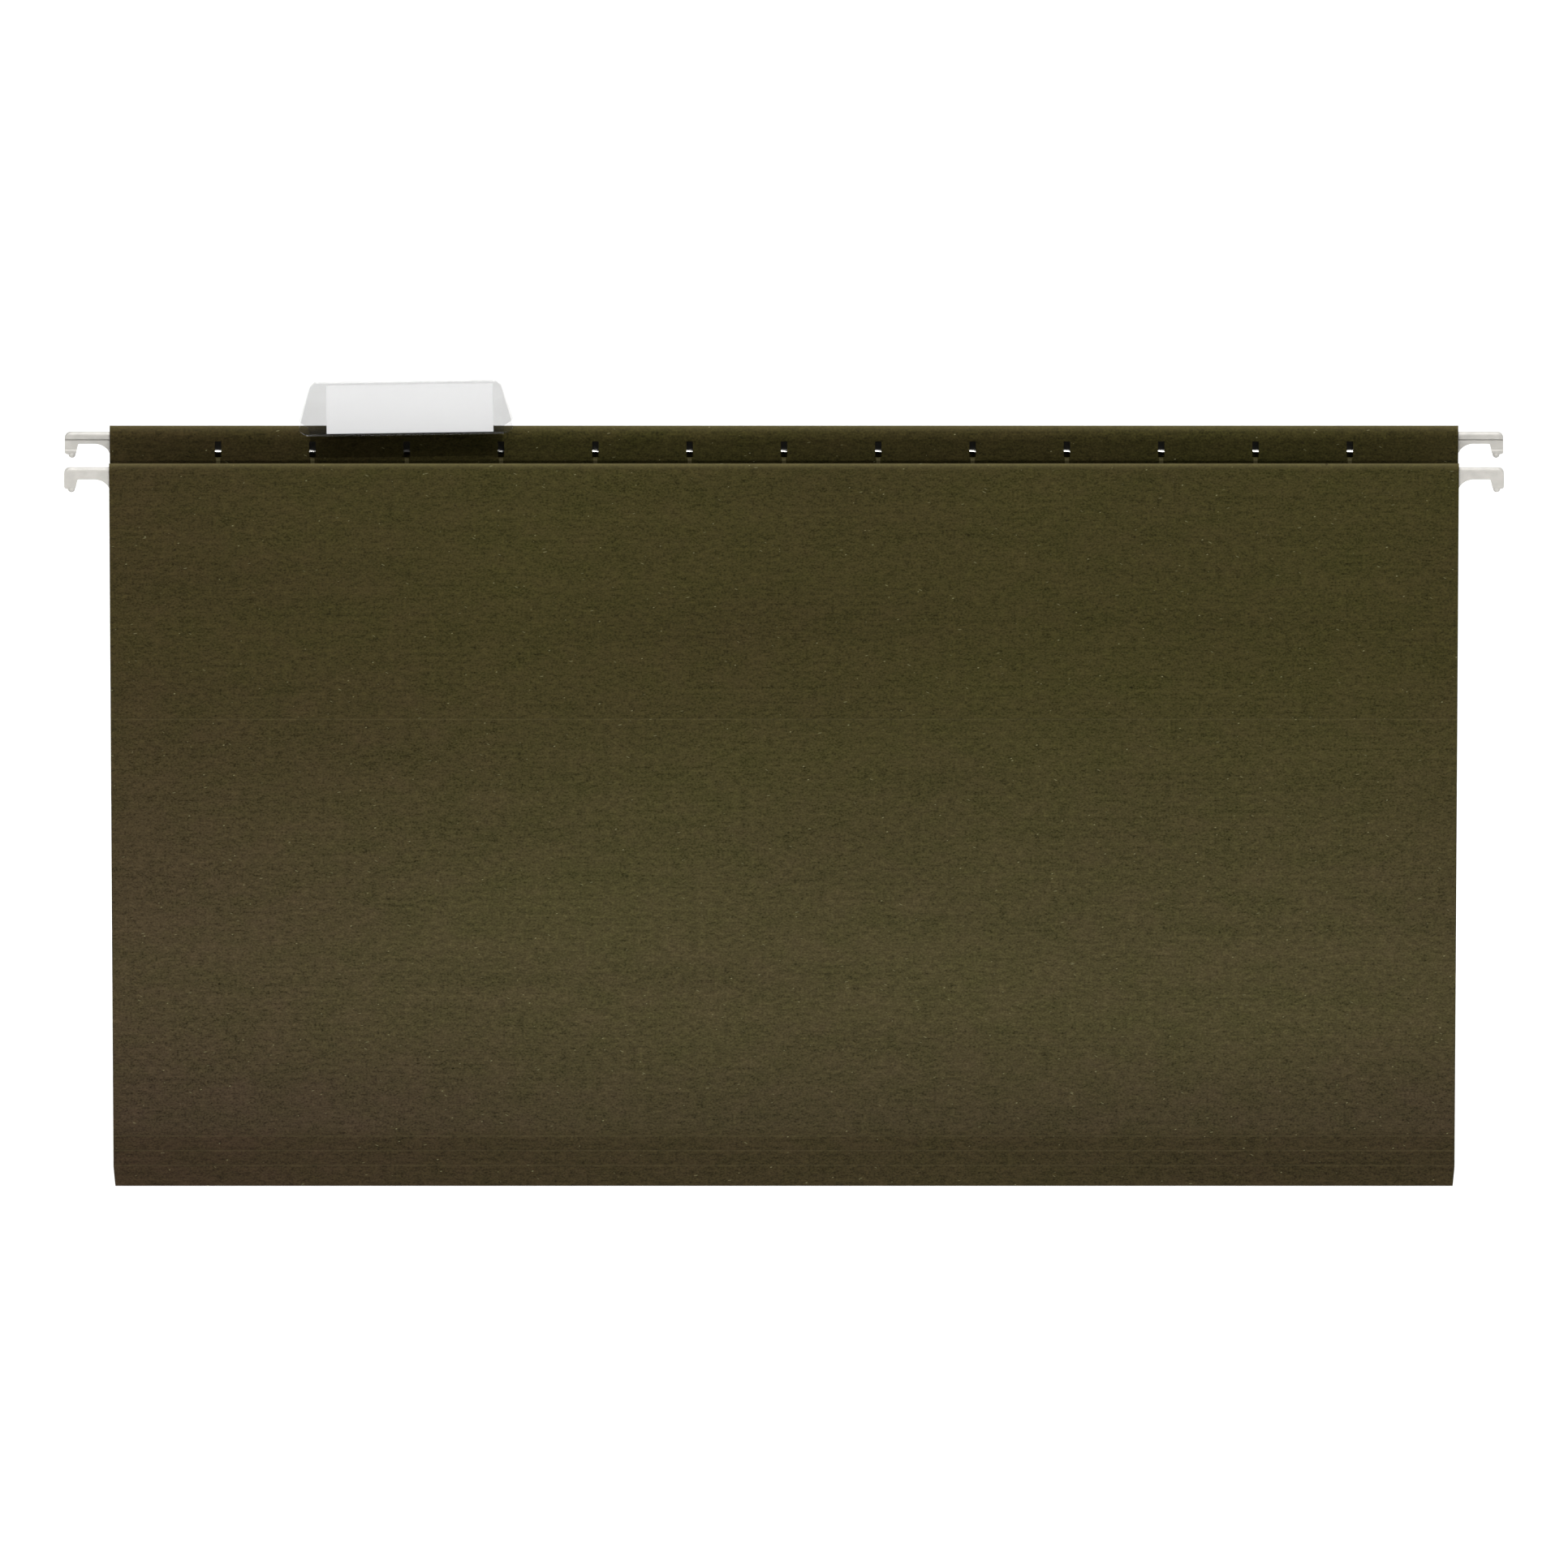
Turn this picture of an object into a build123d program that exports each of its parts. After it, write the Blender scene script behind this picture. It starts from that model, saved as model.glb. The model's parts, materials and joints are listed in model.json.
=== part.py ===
from build123d import *
import math
import os

# Hanging file folder, legal size: one olive sheet folded at the bottom, its top edges folded over two
# flat steel rods whose coated ends hook on the rails of a drawer, with a clear index tab on the back hem.
# Each half is drawn upright in its own frame: X along the width, Y outward through the sheet with the
# inner face at 0, Z up from the bottom fold. Millimetres and degrees.

# Sheet
SHEET = 0.28            # card thickness, 11 point stock
PANEL_WIDTH = 374.65
PANEL_HEIGHT = 238.1    # bottom fold to top fold
OPENING = 5.28          # angle between the two panels as the folder hangs
FOLD_PLAY = 0.03        # front panel to the round edge of the bottom fold
FIRST_SCORE = 6.7       # scored lines above the bottom fold
SCORE_PITCH = 4.9
SCORE_COUNT = 3
PANEL_SCORE = 83.7      # single scored line below the top fold
SCORE_WIDTH = 0.6
SCORE_DEPTH = 0.08
CORNER_CUT_WIDTH = 0.5
CORNER_CUT_HEIGHT = 3.0

# Hem folded over the rod
FOLD_GAP = 0.6          # inside width of the top fold
FOLD_SPREAD = 40.0      # angle at which the flap leaves the top fold to clear the rod
POCKET = 2.0            # inside thickness of the sleeve at the rod
POCKET_BELOW_ROD = 1.6
RAMP_HEIGHT = 4.4       # where the flap comes back to the panel below the rod
FLAP_BELOW_RAMP = 24.0
SLEEVE_BEND = 2.5       # bend of the flap over the rod
FLAP_BEND = 0.4         # bends where the flap comes back to the panel
GLUE_FILM = 0.1
GLUE_MARGIN = 2.0

# Tab slots in the flap
SLOT_PITCH = 26.2
SLOT_END_MARGIN = 20.0  # least distance from the end of the row to the panel edge
SLOT_WIDTH = 1.77
SLOT_HEIGHT = 5.1
SLOT_DROP = 3.86        # top fold to slot
SLIT_WIDTH = 0.4
SLIT_HEIGHT = 4.0

# Rod of folded steel strip
STRIP = 0.5
STRIP_HEM_GAP = 0.1
ROD_HEIGHT = 6.35
ROD_DROP = 1.85         # top fold to the rod
ROD_SIDE_GAP = 0.35     # rod to the panel
TOP_HEM = 1.5
BOTTOM_HEM = 1.0
HEM_BEVEL = 0.35        # slanted cut edge of each folded edge

# Hooks at the ends of the rods, measured out from the panel edge
HOOK_REACH = 12.25
HOOK_BAR = 3.0
HOOK_TIP = 3.3          # width of the tip where it meets the bar
HOOK_TIP_DRAFT = 0.7    # narrowing of the tip at its foot
SEAT_START = 4.2
SHOULDER_RADIUS = 4.7
TIP_TOP_RADIUS = 1.9
TIP_FOOT_RADIUS = 0.8
NOTCH_RADIUS = 0.6

# Plastic coat on the hooks
COAT = 0.25
COAT_INSIDE = 4.0       # length of coat inside the sleeve
COAT_FILL = 0.6         # coat that fills the hollow between the folded edges
SEAM_HEIGHT = 0.35      # line left in the fill under the upper folded edge
BEAD_RADIUS = 1.0       # drip of coat under the tip
BEAD_DROP = 0.1
BEAD_SHIFT = 0.45       # drip toward the notch

# Clear index tab and its paper label
TAB_SLOT = 2            # slot under the middle of the tab, counted from 0 at the left
TAB_SHEET = 0.3
TAB_FIT = 0.08          # rear leaf to the flap
TAB_RISE = 15.4         # top fold of the folder to the top of the tab
TAB_SLOPE = 20.4        # front leaf to rear leaf
TAB_BEND = 0.45
TAB_FACE = 14.0         # flat length of the front leaf
TAB_LIP = 0.5           # bend of the lip that holds the label
TAB_LIP_TURN = 150.0
TAB_TOP_WIDTH = 49.8
TAB_CORNER_WIDTH = 53.2
TAB_CORNER_DROP = 1.5   # top of the tab to the foot of its cut corners
TAB_EAR_WIDTH = 59.7
TAB_EAR_DROP = 12.6     # top of the tab to its widest place
TAB_EAR_ROUND = 1.0
TAB_FOOT_WIDTH = 54.6
TONGUE_REACH = 3.4
TONGUE_PLAY = 0.55      # slot ends to the tongue
TAB_SKEW = 0.93         # tab sits a little turned in its slots
LABEL_SHEET = 0.2
LABEL_FIT = 0.1
LABEL_SIDE_MARGIN = 1.75
LABEL_TOP_MARGIN = 0.5
LABEL_SHIFT = 1.1       # label sits a little to the right in the tab

HALF_WIDTH = PANEL_WIDTH / 2
SLOT_COUNT = 2 * int((HALF_WIDTH - SLOT_END_MARGIN) / SLOT_PITCH) + 1
LEAN = OPENING / 2
FOLD_RADIUS = (FOLD_GAP + SHEET) / 2
FOLD_CENTRE = PANEL_HEIGHT - SHEET / 2 - FOLD_RADIUS
ROD_TOP = PANEL_HEIGHT - ROD_DROP
ROD_BOTTOM = ROD_TOP - ROD_HEIGHT
SEAT = ROD_TOP - HOOK_BAR
RAMP_TOP = ROD_BOTTOM - POCKET_BELOW_ROD
RAMP_BOTTOM = RAMP_TOP - RAMP_HEIGHT
FLAP_END = RAMP_BOTTOM - FLAP_BELOW_RAMP
SLOT_TOP = PANEL_HEIGHT - SLOT_DROP
TAB_X = (TAB_SLOT - (SLOT_COUNT - 1) / 2) * SLOT_PITCH
TAB_TOP = PANEL_HEIGHT + TAB_RISE
LEAF_BACK = -(POCKET + SHEET + TAB_FIT)
EXTRA = 5.0             # cutters run past what they cut


def across(profile):
    """Solid as wide as the panel from a profile in the Y-Z plane."""
    return extrude(Plane.YZ * profile, amount=HALF_WIDTH, both=True)


def through(outline, y_from, y_to):
    """Solid from an outline in the X-Z plane, between two places on Y."""
    return extrude(Plane.XZ.offset(-y_to) * outline, amount=y_to - y_from)


def polygon(*points):
    return make_face(Polyline(*points, close=True))


def rectangle(x_from, x_to, y_from, y_to):
    return polygon((x_from, y_from), (x_to, y_from), (x_to, y_to), (x_from, y_to))


def score(height):
    """Shallow groove pressed in the outer face."""
    half = SCORE_WIDTH / 2
    return polygon((SHEET, height - half), (SHEET - SCORE_DEPTH, height), (SHEET, height + half))


def corner_cuts():
    """Small cuts at the ends of the bottom fold."""
    low = -EXTRA * CORNER_CUT_HEIGHT
    slope = CORNER_CUT_WIDTH / CORNER_CUT_HEIGHT
    points = [(HALF_WIDTH, CORNER_CUT_HEIGHT), (HALF_WIDTH + EXTRA, CORNER_CUT_HEIGHT),
              (HALF_WIDTH + EXTRA, low), (HALF_WIDTH - slope * (CORNER_CUT_HEIGHT - low), low)]
    right = through(polygon(*points), -EXTRA, EXTRA)
    return right + mirror(right, about=Plane.YZ)


def panel(low):
    """Outer layer from near the bottom fold to the top fold, with its scored lines."""
    profile = rectangle(0, SHEET, low, FOLD_CENTRE) - score(PANEL_HEIGHT - PANEL_SCORE)
    for k in range(SCORE_COUNT):
        profile -= score(FIRST_SCORE + SCORE_PITCH * k)
    return across(profile) - corner_cuts()


def back_panel():
    """Back panel with the round edge of the bottom fold, on whose axis the front panel turns."""
    return panel(0) + (across(Circle(SHEET)) - corner_cuts())


def hem():
    """Flap folded over the rod and back to the panel, with the row of tab slots."""
    turn = 180 - FOLD_SPREAD
    fold = CenterArc((SHEET / 2 - FOLD_RADIUS, FOLD_CENTRE), FOLD_RADIUS, 0, turn)
    start = fold @ 1
    pocket_y = -POCKET - SHEET / 2
    glued_y = -GLUE_FILM - SHEET / 2
    pocket_top = start.Y - (start.X - pocket_y) / math.tan(math.radians(FOLD_SPREAD))
    sleeve = FilletPolyline((start.X, start.Y), (pocket_y, pocket_top), (pocket_y, ROD_BOTTOM),
                            radius=SLEEVE_BEND)
    flap = FilletPolyline((pocket_y, ROD_BOTTOM), (pocket_y, RAMP_TOP), (glued_y, RAMP_BOTTOM),
                          (glued_y, FLAP_END), radius=FLAP_BEND)
    body = across(trace(fold + sleeve + flap, SHEET))
    openings = Sketch()
    for k in range(SLOT_COUNT):
        x = (k - (SLOT_COUNT - 1) / 2) * SLOT_PITCH
        low = SLOT_TOP - SLOT_HEIGHT
        openings += rectangle(x - SLOT_WIDTH / 2, x + SLOT_WIDTH / 2, low, SLOT_TOP)
        openings += rectangle(x - SLIT_WIDTH / 2, x + SLIT_WIDTH / 2, low - SLIT_HEIGHT, low)
    return body - through(openings, -POCKET - EXTRA, SHEET + EXTRA)


def hem_glue():
    """Film of glue that holds the flap to the panel below the rod."""
    high = RAMP_BOTTOM - GLUE_MARGIN
    low = FLAP_END + GLUE_MARGIN
    film = rectangle(-GLUE_FILM, 0, low, high)
    return extrude(Plane.YZ * film, amount=HALF_WIDTH - GLUE_MARGIN, both=True)


def rod_section():
    """Steel strip with its two edges folded over toward the inside of the folder."""
    radius = (STRIP + STRIP_HEM_GAP) / 2
    web = -ROD_SIDE_GAP - STRIP / 2
    edge = web - 2 * radius
    high = ROD_TOP - STRIP / 2 - radius
    low = ROD_BOTTOM + STRIP / 2 + radius
    path = Line((edge, ROD_TOP - TOP_HEM), (edge, high))
    path += CenterArc((web - radius, high), radius, 0, 180)
    path += Line((web, high), (web, low))
    path += CenterArc((web - radius, low), radius, 180, 180)
    path += Line((edge, low), (edge, ROD_BOTTOM + BOTTOM_HEM))
    section = trace(path, STRIP)
    face = edge - STRIP / 2
    for cut, rise in ((ROD_TOP - TOP_HEM, HEM_BEVEL), (ROD_BOTTOM + BOTTOM_HEM, -HEM_BEVEL)):
        section -= polygon((face, cut + rise), (face, cut), (face + HEM_BEVEL, cut))
    return section


def rod_outline():
    """Side view of the strip with a notch for the rail at each end."""
    end = HALF_WIDTH + HOOK_REACH
    strip = rectangle(-end, end, ROD_BOTTOM, ROD_TOP)
    tops = strip.vertices().filter_by(lambda v: v.Y > ROD_BOTTOM + ROD_HEIGHT / 2)
    strip = fillet(tops, TIP_TOP_RADIUS)
    low = ROD_BOTTOM - NOTCH_RADIUS
    drop = SEAT - low
    tip = end - HOOK_TIP
    draft = HOOK_TIP_DRAFT * drop / (SEAT - ROD_BOTTOM)
    shoulder = HALF_WIDTH + SEAT_START
    rise = SHOULDER_RADIUS - drop
    foot = shoulder - math.sqrt(SHOULDER_RADIUS ** 2 - rise ** 2)
    notch = make_face(Line((shoulder, SEAT), (tip, SEAT))
                      + Line((tip, SEAT), (tip + draft, low))
                      + Line((tip + draft, low), (foot, low))
                      + RadiusArc((foot, low), (shoulder, SEAT), SHOULDER_RADIUS))
    corner = notch.vertices().sort_by(lambda v: abs(v.X - tip) + abs(v.Y - SEAT))[0]
    notch = fillet(corner, NOTCH_RADIUS)
    strip -= notch
    strip -= mirror(notch, about=Plane.YZ)
    feet = strip.vertices().filter_by(lambda v: abs(v.X) > tip and v.Y < ROD_BOTTOM + 0.01)
    return fillet(feet, TIP_FOOT_RADIUS)


def strip_solid(section, outline):
    length = HALF_WIDTH + HOOK_REACH + EXTRA
    bar = extrude(Plane.YZ * section, amount=length, both=True)
    return bar & through(outline, -POCKET - EXTRA, SHEET + EXTRA)


def rod():
    return strip_solid(rod_section(), rod_outline())


def coat_section():
    """Section of the coated strip: the coat bridges the narrow gap in each folded edge."""
    outer = (2 * STRIP + STRIP_HEM_GAP) / 2 + COAT
    middle = -ROD_SIDE_GAP - STRIP - STRIP_HEM_GAP / 2
    high = ROD_TOP + COAT - outer
    low = ROD_BOTTOM - COAT + outer
    inner = -ROD_SIDE_GAP - STRIP - COAT
    fill = -ROD_SIDE_GAP - STRIP - COAT_FILL
    seam = ROD_TOP - TOP_HEM - COAT
    section = rectangle(fill, middle + outer, low, high)
    section -= rectangle(fill, inner, seam - SEAM_HEIGHT, seam)
    section += rectangle(middle - outer, middle + outer, seam, high)
    section += rectangle(middle - outer, middle + outer, low, ROD_BOTTOM + BOTTOM_HEM + COAT)
    section += Pos(middle, high) * Circle(outer)
    section += Pos(middle, low) * Circle(outer)
    return section


def hook_coat(steel):
    """Dipped plastic coat on the hook at the +X end of a rod."""
    outline = offset(rod_outline(), COAT)
    skin = strip_solid(coat_section(), outline)
    start = HALF_WIDTH - COAT_INSIDE
    reach = COAT_INSIDE + HOOK_REACH + EXTRA
    place = Pos(start + reach / 2, 0, PANEL_HEIGHT)
    skin &= place * Box(reach, EXTRA * POCKET, EXTRA * ROD_HEIGHT)
    bead_x = HALF_WIDTH + HOOK_REACH - (HOOK_TIP - HOOK_TIP_DRAFT) / 2 - BEAD_SHIFT
    bead_y = -ROD_SIDE_GAP - STRIP - STRIP_HEM_GAP / 2
    skin += Pos(bead_x, bead_y, ROD_BOTTOM - COAT - BEAD_DROP) * Sphere(BEAD_RADIUS)
    return skin - steel


def tab_fold():
    """Path of the tab sheet from the foot of the rear leaf over the top to the lip."""
    leaf = LEAF_BACK - TAB_SHEET / 2
    turn = 180 - TAB_SLOPE
    top = TAB_TOP - TAB_SHEET / 2 - TAB_BEND
    foot = SLOT_TOP - SLOT_HEIGHT + TONGUE_PLAY
    slope = math.radians(TAB_SLOPE)
    rear = Line((leaf, foot), (leaf, top))
    bend = CenterArc((leaf - TAB_BEND, top), TAB_BEND, 0, turn)
    begin = bend @ 1
    end = (begin.X - TAB_FACE * math.sin(slope), begin.Y - TAB_FACE * math.cos(slope))
    face = Line((begin.X, begin.Y), end)
    lip_centre = (end[0] + TAB_LIP * math.cos(slope), end[1] - TAB_LIP * math.sin(slope))
    lip = CenterArc(lip_centre, TAB_LIP, turn, TAB_LIP_TURN)
    return rear, bend, face, lip


def skewed(shape):
    """Turn the tab or its label in the plane of the back panel and set it over its slot."""
    middle = SLOT_TOP - SLOT_HEIGHT / 2
    return Pos(TAB_X, 0, middle) * Rot(0, -TAB_SKEW, 0) * Pos(0, 0, -middle) * shape


def index_tab():
    rear, bend, face, lip = tab_fold()
    folded = extrude(Plane.YZ * trace(rear + bend + face + lip, TAB_SHEET), amount=TAB_EAR_WIDTH, both=True)
    hook = SLOT_PITCH + TAB_SHEET / 2
    lip_low = (face @ 1).Y - TAB_LIP - TAB_SHEET
    foot = (rear @ 0).Y
    neck = SLOT_TOP - TONGUE_PLAY
    half = [(0, TAB_TOP + EXTRA), (TAB_TOP_WIDTH / 2, TAB_TOP + EXTRA), (TAB_TOP_WIDTH / 2, TAB_TOP),
            (TAB_CORNER_WIDTH / 2, TAB_TOP - TAB_CORNER_DROP),
            (TAB_EAR_WIDTH / 2, TAB_TOP - TAB_EAR_DROP), (TAB_FOOT_WIDTH / 2, lip_low),
            (hook, neck), (hook, foot), (0, foot)]
    right = polygon(*half)
    ears = right.vertices().filter_by(lambda v: v.X > TAB_TOP_WIDTH / 2 + 0.01 and v.Y > lip_low + 0.01)
    right = fillet(ears, TAB_EAR_ROUND)
    body = folded & through(right + mirror(right, about=Plane.YZ), -TAB_FACE - EXTRA, 0)
    tongue_back = -POCKET + TAB_FIT + TAB_SHEET
    bridge = Plane.XY.offset(foot) * (
        rectangle(hook - TAB_SHEET, hook, LEAF_BACK - TAB_SHEET, tongue_back)
        + rectangle(hook - TAB_SHEET, hook + TONGUE_REACH, tongue_back - TAB_SHEET, tongue_back))
    tongue = extrude(bridge, amount=neck - foot)
    body += tongue + mirror(tongue, about=Plane.YZ)
    return skewed(body)


def label():
    """Paper label standing in the lip behind the front leaf."""
    face = tab_fold()[2]
    slope = math.radians(TAB_SLOPE)
    inset = TAB_SHEET / 2 + LABEL_FIT + LABEL_SHEET / 2
    begin = face @ 0
    end = face @ 1
    shift = (inset * math.cos(slope), -inset * math.sin(slope))
    keep = 1 - LABEL_TOP_MARGIN / TAB_FACE
    top = (end.X + (begin.X - end.X) * keep + shift[0], end.Y + (begin.Y - end.Y) * keep + shift[1])
    foot = (end.X + shift[0], end.Y + shift[1])
    paper = trace(Line(foot, top), LABEL_SHEET)
    width = TAB_TOP_WIDTH - 2 * LABEL_SIDE_MARGIN
    strip = extrude(Plane.YZ * paper, amount=width / 2, both=True)
    return skewed(Pos(LABEL_SHIFT, 0, 0) * strip)


def main():
    os.makedirs("parts", exist_ok=True)
    back = Pos(0, 0, SHEET) * Rot(-LEAN, 0, 0)
    front = Rot(0, 0, 180) * back
    steel = rod()
    coat_right = hook_coat(steel)
    coat_left = mirror(coat_right, about=Plane.YZ)
    shared = {"hem": hem(), "hem_glue": hem_glue(), "rod": steel}
    parts = {"front_panel": front * panel(SHEET + FOLD_PLAY), "back_panel": back * back_panel()}
    for side, place in (("front", front), ("back", back)):
        for name, shape in shared.items():
            parts[f"{side}_{name}"] = place * shape
    parts["front_left_hook_coat"] = front * coat_right
    parts["front_right_hook_coat"] = front * coat_left
    parts["back_left_hook_coat"] = back * coat_left
    parts["back_right_hook_coat"] = back * coat_right
    parts["index_tab"] = back * index_tab()
    parts["label_insert"] = back * label()
    for name, shape in parts.items():
        export_step(shape, f"parts/{name}.step")


if __name__ == "__main__":
    main()
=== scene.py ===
import json
import math

import bmesh
import bpy
from mathutils import Matrix, Vector


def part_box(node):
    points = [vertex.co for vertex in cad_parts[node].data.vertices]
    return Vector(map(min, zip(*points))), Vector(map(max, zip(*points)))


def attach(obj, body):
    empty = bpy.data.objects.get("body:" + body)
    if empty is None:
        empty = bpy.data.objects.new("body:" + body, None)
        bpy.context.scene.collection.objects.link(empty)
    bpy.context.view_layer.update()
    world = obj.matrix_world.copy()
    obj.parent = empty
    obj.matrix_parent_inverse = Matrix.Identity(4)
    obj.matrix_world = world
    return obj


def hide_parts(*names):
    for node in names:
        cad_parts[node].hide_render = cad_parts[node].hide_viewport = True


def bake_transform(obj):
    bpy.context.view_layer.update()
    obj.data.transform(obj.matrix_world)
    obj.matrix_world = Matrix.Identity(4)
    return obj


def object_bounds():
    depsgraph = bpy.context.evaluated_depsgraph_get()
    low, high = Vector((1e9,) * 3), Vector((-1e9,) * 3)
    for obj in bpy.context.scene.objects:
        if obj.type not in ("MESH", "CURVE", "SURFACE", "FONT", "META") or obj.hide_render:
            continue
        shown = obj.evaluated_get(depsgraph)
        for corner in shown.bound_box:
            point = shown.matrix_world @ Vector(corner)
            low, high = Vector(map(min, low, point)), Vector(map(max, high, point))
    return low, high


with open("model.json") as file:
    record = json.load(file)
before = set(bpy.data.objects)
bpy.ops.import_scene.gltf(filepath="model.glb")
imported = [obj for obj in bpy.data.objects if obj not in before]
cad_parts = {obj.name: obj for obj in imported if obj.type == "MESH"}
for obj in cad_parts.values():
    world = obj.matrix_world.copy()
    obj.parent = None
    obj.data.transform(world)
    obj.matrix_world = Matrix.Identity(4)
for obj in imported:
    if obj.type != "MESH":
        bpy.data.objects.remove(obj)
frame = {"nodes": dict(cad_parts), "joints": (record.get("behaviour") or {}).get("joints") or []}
CAD_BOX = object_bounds()

# Hanging file folder. The card is one folded sheet, drawn as two halves and the strip of the bottom fold that joins
# them. The hooks are rounded copies of their coats, and the rods, glue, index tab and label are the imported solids.
# Each half of the card has its own frame: Y outward through the card with the inner face at 0, Z up from the axis
# of the bottom fold. Side is 1 for the back half and -1 for the front half. Lengths are in metres, angles in radians.

bl_info = {
    "name": "Hanging file folder",
    "version": (1, 0, 0),
    "blender": (4, 5, 0),
    "location": "View3D > Sidebar > Folder",
    "description": "Folds the card, dips the hooks and dresses the index tab of a hanging file folder",
    "category": "Object",
}

MM = 0.001
FOLD = next(j for j in frame["joints"] if j["name"] == "bottom_fold")
FOLD_AXIS = Vector(FOLD["pos_m"])
LEAN = math.radians(180 - FOLD["range_deg"][1]) / 2
PANEL_LOW, PANEL_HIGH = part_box("front_panel")
ARC = 7                     # steps in each half of the bottom fold, the last one straight
SEAM = 0.1 * MM             # fold axis to the seam between the strip of the bottom fold and each half
SHARP = math.radians(35)    # edges of the card that turn more than this stay sharp


def linear(colour):
    """Linear RGBA of an sRGB hex value."""
    values = [int(colour[k:k + 2], 16) / 255 for k in (1, 3, 5)]
    return [v / 12.92 if v <= 0.04045 else ((v + 0.055) / 1.055) ** 2.4 for v in values] + [1.0]


def length(name, description, default):
    """A setting that is a length in metres."""
    return bpy.props.FloatProperty(name=name, description=description, default=default, precision=5, unit="LENGTH")


def colour(name, description, default):
    """A setting that is a colour, given as an sRGB hex value."""
    return bpy.props.FloatVectorProperty(name=name, description=description, default=linear(default), size=4,
                                         min=0, max=1, subtype="COLOR")


class CardSettings(bpy.types.PropertyGroup):
    """Sizes and colours of the folded card."""

    width: length("Width", "Width of the card along the folds", PANEL_HIGH.x - PANEL_LOW.x)
    height: length("Height", "Bottom fold to top fold", 238.1 * MM)
    thickness: length("Thickness", "Thickness of the card", FOLD_AXIS.z)
    fold_gap: length("Top fold gap", "Inside width of the top fold", 0.6 * MM)
    fold_spread: bpy.props.FloatProperty(name="Top fold spread",
                                         description="Angle of the flap as it leaves the fold",
                                         default=math.radians(40), unit="ROTATION")
    sleeve: length("Sleeve", "Inside thickness of the sleeve round the rod", 2.0 * MM)
    sleeve_drop: length("Sleeve drop", "Top fold to the end of the sleeve", 9.8 * MM)
    ramp: length("Ramp", "Height in which the flap comes back to the panel", 4.4 * MM)
    flap: length("Glued flap", "Height of the flap that is glued to the panel", 24.0 * MM)
    glue: length("Glue", "Thickness of the glue under the flap", 0.1 * MM)
    sleeve_bend: length("Sleeve bend", "Radius of the bend over the rod", 4.5 * MM)
    bend: length("Bend radius", "Radius of the bends below the rod", 0.4 * MM)
    first_score: length("First score", "Bottom fold to the first scored line", 6.7 * MM)
    score_pitch: length("Score pitch", "Distance between the scored lines of the bottom", 4.9 * MM)
    score_count: bpy.props.IntProperty(name="Scores", description="Scored lines at the bottom", default=3, min=0)
    panel_score: length("Panel score", "Top fold to the single scored line", 83.7 * MM)
    score_width: length("Score width", "Width of a scored line", 0.7 * MM)
    score_depth: length("Score depth", "Depth of a scored line", 0.08 * MM)
    corner_width: length("Corner cut width", "Width of the cut at each end of the bottom fold", 0.5 * MM)
    corner_height: length("Corner cut height", "Height of the cut at each end of the bottom fold", 3.0 * MM)
    green: colour("Olive green", "Greener areas of the dyed card", "#383618")
    brown: colour("Olive brown", "Browner areas of the dyed card", "#352D19")
    fleck: colour("Fleck", "Undyed fibres in the surface", "#7C7857")
    speck: colour("Speck", "Dark bark specks", "#1C1810")
    # The worn colour also paints a highlight on the crest of the top fold
    worn_and_lit: colour("Worn fold", "Stretched and cut fibres along folds and slits", "#5E573B")


class SlotSettings(bpy.types.PropertyGroup):
    """Row of tab slots in each flap."""

    count: bpy.props.IntProperty(name="Slots", description="Slots in the row", default=13, min=1)
    pitch: length("Pitch", "Distance between slots", 26.2 * MM)
    width: length("Width", "Width of a slot", 1.77 * MM)
    height: length("Height", "Height of a slot", 5.1 * MM)
    drop: length("Drop", "Top fold to the slot", 3.86 * MM)
    slit_width: length("Slit width", "Width of the slit below a slot, closed up by its fibres", 0.03 * MM)
    slit_height: length("Slit height", "Height of the slit below a slot", 4.0 * MM)


class HookSettings(bpy.types.PropertyGroup):
    """Dipped coat of the hooks and bare metal of the rods."""

    grain: length("Mesh size", "Size of the mesh of a dipped hook", 0.085 * MM)
    rounding: bpy.props.IntProperty(name="Rounding", description="Passes that round the wet edges", default=12, min=0)
    coat: colour("Coat", "Colour of the dipped coat", "#B7B4AE")
    steel: colour("Steel", "Colour of the zinc-plated rods", "#A9A8A4")
    glue: colour("Glue", "Colour of the dried glue", "#D8CFAE")


class TabSettings(bpy.types.PropertyGroup):
    """Clear index tab and its paper label."""

    tint: colour("Tint", "What one face of the plastic lets through", "#F2F2F2")
    label: colour("Label", "Colour of the label paper", "#FFFFFF")


class StageSettings(bpy.types.PropertyGroup):
    """Camera, lights and floor."""

    elevation: bpy.props.FloatProperty(name="Elevation", description="Camera above the horizon",
                                       default=math.radians(29.9), unit="ROTATION")
    distance: length("Distance", "Camera to the folder", 19.0)
    frame_width: length("Frame width", "Width of the picture at the folder", 0.4366)
    aim: length("Aim", "Height that the camera looks at", 0.1295)
    floor_drop: length("Floor drop", "Hanging height over the floor", 0.3)
    floor: colour("Floor", "Colour of the floor", "#FAFAF9")
    sky: bpy.props.FloatProperty(name="Sky", description="Strength of the even light all round", default=0.15, min=0)
    key: bpy.props.FloatProperty(name="Key", description="Power of the overhead soft light, in watts",
                                 default=48, min=0)
    ceiling: bpy.props.FloatProperty(name="Ceiling", description="Strength of the light straight down",
                                     default=1.5, min=0)
    fill: bpy.props.FloatProperty(name="Fill", description="Power of each soft light in front, in watts",
                                  default=16.5, min=0)


class FolderSettings(bpy.types.PropertyGroup):
    """All settings of the folder."""

    card: bpy.props.PointerProperty(type=CardSettings)
    slots: bpy.props.PointerProperty(type=SlotSettings)
    hooks: bpy.props.PointerProperty(type=HookSettings)
    tab: bpy.props.PointerProperty(type=TabSettings)
    stage: bpy.props.PointerProperty(type=StageSettings)


# Shared helpers

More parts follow.
